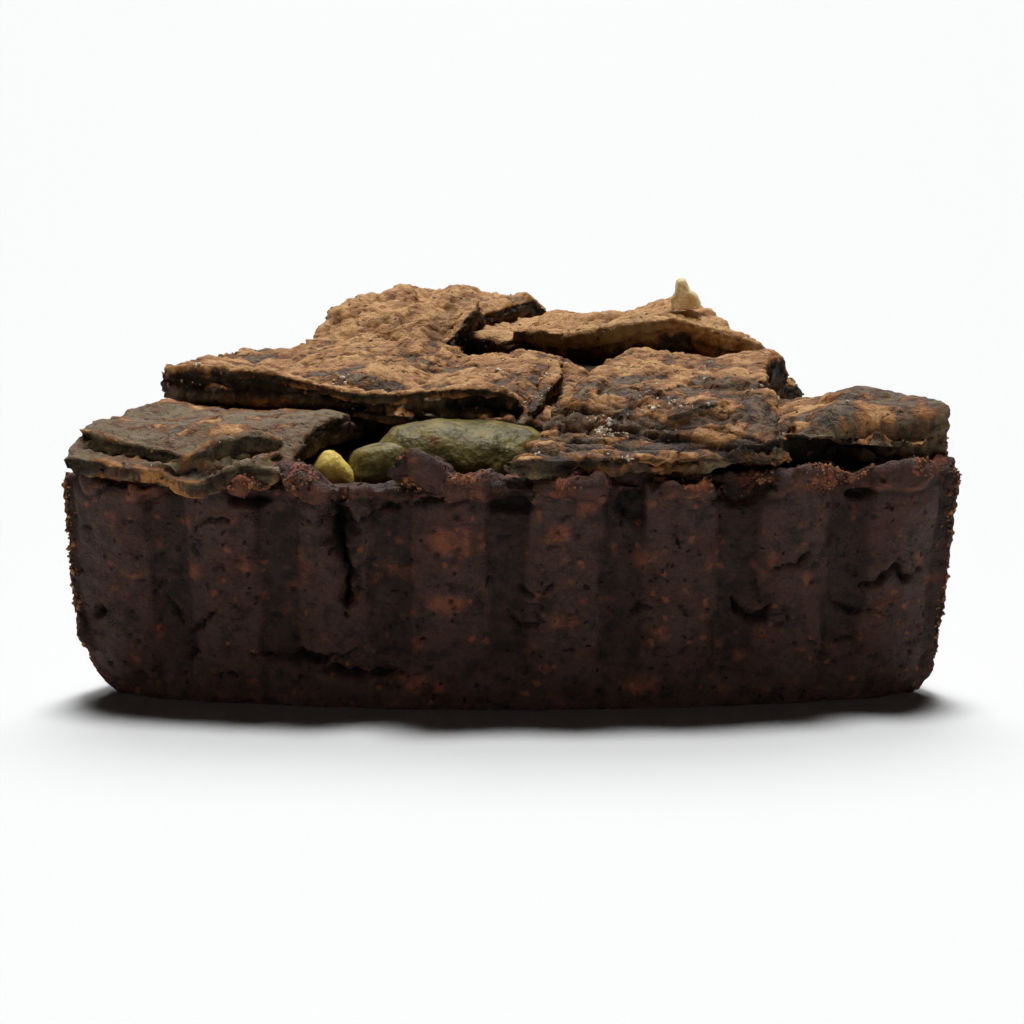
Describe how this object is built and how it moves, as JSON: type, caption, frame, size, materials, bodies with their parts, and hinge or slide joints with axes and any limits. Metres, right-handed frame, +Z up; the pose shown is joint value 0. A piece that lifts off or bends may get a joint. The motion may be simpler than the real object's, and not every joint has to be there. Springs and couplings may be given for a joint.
{
  "type": "pear tart slice",
  "caption": "Wedge slice of a deep chocolate shortcrust tart with a fluted rim, a woven chocolate lattice on top and soft pear pieces in a dark filling.",
  "frame": {"origin": "middle of the slice's plan box, on the surface that it stands on", "axes": "+Z up, the fluted rim faces -Y and the tip points to +Y, X from the left cut face to the right one"},
  "size_m": [0.0986, 0.1289, 0.0414],
  "materials": {
    "chocolate_crust": "baked, crumbly, matt with a faint sheen",
    "chocolate_lattice": "baked, rough, paler where it browned",
    "dark_filling": "soft and moist",
    "pear": "cooked, moist, slightly translucent"
  },
  "bodies": {
    "root": {"crust": "chocolate_crust", "filling": "dark_filling", "strip_left": "chocolate_lattice", "strip_right": "chocolate_lattice", "strip_front": "chocolate_lattice", "strip_back": "chocolate_lattice", "pear_window": "pear", "pear_window_side": "pear", "pear_nugget": "pear", "pear_behind": "pear", "pear_cut_left_front": "pear", "pear_cut_left_middle": "pear", "pear_cut_left_tip": "pear", "pear_cut_right_front": "pear", "pear_cut_right_middle": "pear", "pear_cut_right_tip": "pear", "pear_stalk_end": "pear"}
  },
  "joints": []
}
